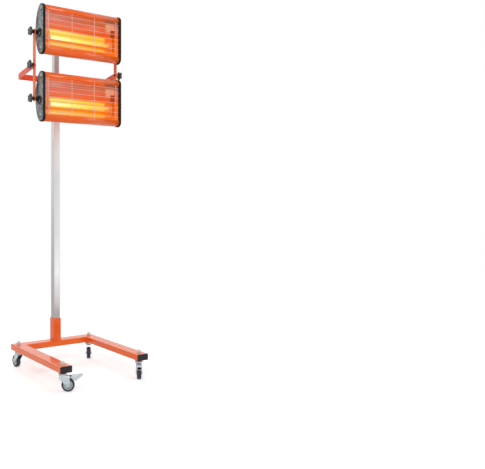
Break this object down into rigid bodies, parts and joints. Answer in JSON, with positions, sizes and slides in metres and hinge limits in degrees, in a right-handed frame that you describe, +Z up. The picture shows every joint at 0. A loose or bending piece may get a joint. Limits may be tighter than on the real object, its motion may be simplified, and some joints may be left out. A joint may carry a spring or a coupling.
{
  "type": "infrared paint curing lamp",
  "caption": "Infrared curing lamp: tilting lamp heads in an orange frame on a telescopic mast over a U-shaped stand with braked swivel casters.",
  "frame": {"origin": "on the floor under the middle of the whole lamp's box", "axes": "+Z up the mast; -Y the way the lamps and the stand's legs face; +X along the lamp tubes, to the right for someone who faces the lamps and looks along +Y"},
  "size_m": [0.4396, 0.4978, 1.4875],
  "materials": {
    "orange_paint": "gloss powder coat",
    "zinc_steel": "bright zinc plate",
    "mast_silver": "satin zinc plate",
    "black_plastic": "satin moulded",
    "hammered_grey": "hammered enamel",
    "tyre_rubber": "matte",
    "hub_plastic": "moulded",
    "polished_reflector": "polished",
    "glowing_quartz": "lit, glowing yellow",
    "white_ceramic": "matte fired"
  },
  "bodies": {
    "stand": {"base_frame": "orange_paint", "leg_end_plug_left": "black_plastic", "leg_end_plug_right": "black_plastic", "caster_stem_front_left": "zinc_steel", "caster_stem_front_right": "zinc_steel", "caster_stem_rear_left": "zinc_steel", "caster_stem_rear_right": "zinc_steel", "mast_outer": "mast_silver", "mast_collar": "black_plastic"},
    "caster_front_left": {"caster_fork_front_left": "zinc_steel", "caster_axle_front_left": "zinc_steel"},
    "wheel_front_left": {"caster_tyre_front_left": "tyre_rubber", "caster_hub_front_left": "hub_plastic"},
    "brake_front_left": {"brake_pedal_front_left": "zinc_steel"},
    "caster_front_right": {"caster_fork_front_right": "zinc_steel", "caster_axle_front_right": "zinc_steel"},
    "wheel_front_right": {"caster_tyre_front_right": "tyre_rubber", "caster_hub_front_right": "hub_plastic"},
    "brake_front_right": {"brake_pedal_front_right": "zinc_steel"},
    "caster_rear_left": {"caster_fork_rear_left": "zinc_steel", "caster_axle_rear_left": "zinc_steel"},
    "wheel_rear_left": {"caster_tyre_rear_left": "tyre_rubber", "caster_hub_rear_left": "hub_plastic"},
    "caster_rear_right": {"caster_fork_rear_right": "zinc_steel", "caster_axle_rear_right": "zinc_steel"},
    "wheel_rear_right": {"caster_tyre_rear_right": "tyre_rubber", "caster_hub_rear_right": "hub_plastic"},
    "mast_clamp": {"mast_clamp_knob": "black_plastic"},
    "mast_slider": {"mast_inner": "mast_silver", "mast_top_plug": "black_plastic"},
    "bracket_clamp": {"bracket_clamp_knob": "black_plastic"},
    "yoke_carriage": {"yoke_bracket": "orange_paint", "yoke": "orange_paint"},
    "lamp_frame": {"side_bar_left": "orange_paint", "side_bar_right": "orange_paint"},
    "middle_clamp_left": {"middle_knob_left": "black_plastic"},
    "middle_clamp_right": {"middle_knob_right": "black_plastic"},
    "upper_head": {"upper_head_housing": "orange_paint", "upper_head_reflector": "polished_reflector", "upper_head_cap_left": "hammered_grey", "upper_head_cap_right": "hammered_grey", "upper_head_grille": "zinc_steel", "upper_head_cable_gland": "black_plastic", "upper_quartz_tube": "glowing_quartz", "upper_tube_holder_left": "white_ceramic", "upper_tube_holder_right": "white_ceramic"},
    "upper_clamp_left": {"upper_knob_left": "black_plastic"},
    "upper_clamp_right": {"upper_knob_right": "black_plastic"},
    "lower_head": {"lower_head_housing": "orange_paint", "lower_head_reflector": "polished_reflector", "lower_head_cap_left": "hammered_grey", "lower_head_cap_right": "hammered_grey", "lower_head_grille": "zinc_steel", "lower_head_cable_gland": "black_plastic", "lower_quartz_tube": "glowing_quartz", "lower_tube_holder_left": "white_ceramic", "lower_tube_holder_right": "white_ceramic"},
    "lower_clamp_left": {"lower_knob_left": "black_plastic"},
    "lower_clamp_right": {"lower_knob_right": "black_plastic"}
  },
  "joints": [
    {"name": "swivel_front_left", "type": "hinge", "parent": "stand", "child": "caster_front_left", "pos_m": [-0.175, -0.1823, 0.06], "axis": [0, 0, 1], "continuous": true},
    {"name": "roll_front_left", "type": "hinge", "parent": "caster_front_left", "child": "wheel_front_left", "pos_m": [-0.15786, -0.1926, 0.025], "axis": [0.515, 0.8572, 0], "continuous": true},
    {"name": "brake_front_left", "type": "hinge", "parent": "caster_front_left", "child": "brake_front_left", "pos_m": [-0.15957, -0.19157, 0.054], "axis": [0.515, 0.8572, 0], "range_deg": [0, 6]},
    {"name": "swivel_front_right", "type": "hinge", "parent": "stand", "child": "caster_front_right", "pos_m": [0.175, -0.1823, 0.06], "axis": [0, 0, 1], "continuous": true},
    {"name": "roll_front_right", "type": "hinge", "parent": "caster_front_right", "child": "wheel_front_right", "pos_m": [0.16382, -0.19888, 0.025], "axis": [0.829, -0.5592, 0], "continuous": true},
    {"name": "brake_front_right", "type": "hinge", "parent": "caster_front_right", "child": "brake_front_right", "pos_m": [0.16493, -0.19722, 0.054], "axis": [0.829, -0.5592, 0], "range_deg": [0, 6]},
    {"name": "swivel_rear_left", "type": "hinge", "parent": "stand", "child": "caster_rear_left", "pos_m": [-0.175, 0.2037, 0.06], "axis": [0, 0, 1], "continuous": true},
    {"name": "roll_rear_left", "type": "hinge", "parent": "caster_rear_left", "child": "wheel_rear_left", "pos_m": [-0.1757, 0.22369, 0.025], "axis": [-0.9994, -0.0349, 0], "continuous": true},
    {"name": "swivel_rear_right", "type": "hinge", "parent": "stand", "child": "caster_rear_right", "pos_m": [0.175, 0.2037, 0.06], "axis": [0, 0, 1], "continuous": true},
    {"name": "roll_rear_right", "type": "hinge", "parent": "caster_rear_right", "child": "wheel_rear_right", "pos_m": [0.1647, 0.18656, 0.025], "axis": [0.8572, -0.515, 0], "continuous": true},
    {"name": "mast_extension", "type": "slide", "parent": "stand", "child": "mast_slider", "axis": [0, 0, 1], "range_m": [-0.04, 0.33]},
    {"name": "bracket_height", "type": "slide", "parent": "mast_slider", "child": "yoke_carriage", "axis": [0, 0, 1], "range_m": [-0.018, 0.12]},
    {"name": "mast_clamp_turn", "type": "hinge", "parent": "stand", "child": "mast_clamp", "pos_m": [0, 0.227, 1.121], "axis": [0, 1, 0], "continuous": true},
    {"name": "bracket_clamp_turn", "type": "hinge", "parent": "yoke_carriage", "child": "bracket_clamp", "pos_m": [0, 0.213, 1.2285], "axis": [0, 1, 0], "continuous": true},
    {"name": "frame_tilt", "type": "hinge", "parent": "yoke_carriage", "child": "lamp_frame", "pos_m": [0, 0.0155, 1.25], "axis": [1, 0, 0], "range_deg": [-25, 25]},
    {"name": "middle_clamp_left_turn", "type": "hinge", "parent": "lamp_frame", "child": "middle_clamp_left", "pos_m": [-0.1988, 0.0155, 1.25], "axis": [-1, 0, 0], "continuous": true},
    {"name": "middle_clamp_right_turn", "type": "hinge", "parent": "lamp_frame", "child": "middle_clamp_right", "pos_m": [0.1988, 0.0155, 1.25], "axis": [1, 0, 0], "continuous": true},
    {"name": "upper_head_tilt", "type": "hinge", "parent": "lamp_frame", "child": "upper_head", "pos_m": [0, 0.0155, 1.383], "axis": [1, 0, 0], "range_deg": [-60, 60]},
    {"name": "upper_clamp_left_turn", "type": "hinge", "parent": "upper_head", "child": "upper_clamp_left", "pos_m": [-0.1955, 0.0155, 1.383], "axis": [-1, 0, 0], "continuous": true},
    {"name": "upper_clamp_right_turn", "type": "hinge", "parent": "upper_head", "child": "upper_clamp_right", "pos_m": [0.1955, 0.0155, 1.383], "axis": [1, 0, 0], "continuous": true},
    {"name": "lower_head_tilt", "type": "hinge", "parent": "lamp_frame", "child": "lower_head", "pos_m": [0, 0.0155, 1.117], "axis": [1, 0, 0], "range_deg": [-60, 60]},
    {"name": "lower_clamp_left_turn", "type": "hinge", "parent": "lower_head", "child": "lower_clamp_left", "pos_m": [-0.1955, 0.0155, 1.117], "axis": [-1, 0, 0], "continuous": true},
    {"name": "lower_clamp_right_turn", "type": "hinge", "parent": "lower_head", "child": "lower_clamp_right", "pos_m": [0.1955, 0.0155, 1.117], "axis": [1, 0, 0], "continuous": true}
  ]
}
